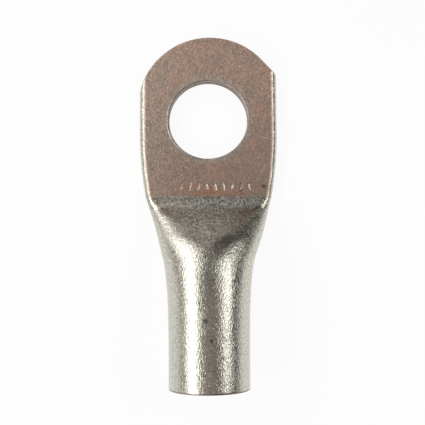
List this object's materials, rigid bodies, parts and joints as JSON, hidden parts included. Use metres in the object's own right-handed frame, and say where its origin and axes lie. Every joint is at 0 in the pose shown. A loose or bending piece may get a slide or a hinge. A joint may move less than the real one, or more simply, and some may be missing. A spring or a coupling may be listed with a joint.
{
  "type": "tubular cable lug",
  "caption": "Tinned copper tube lug: round barrel for a 35 mm2 conductor, pressed into a flat palm with an M10 bolt hole and a sheared round tip.",
  "frame": {"origin": "centre of the bolt hole on the palm's contact face", "axes": "+Y from the barrel to the palm's tip, +Z along the bolt out of the top of the palm, +X across the palm to the sharp corner of the tip"},
  "size_m": [0.0184, 0.046, 0.0103],
  "materials": {
    "tinned_copper": "tin plate over drawn and pressed copper tube, satin with fine tumbling marks"
  },
  "bodies": {
    "root": {"cable_lug": "tinned_copper"}
  },
  "joints": []
}
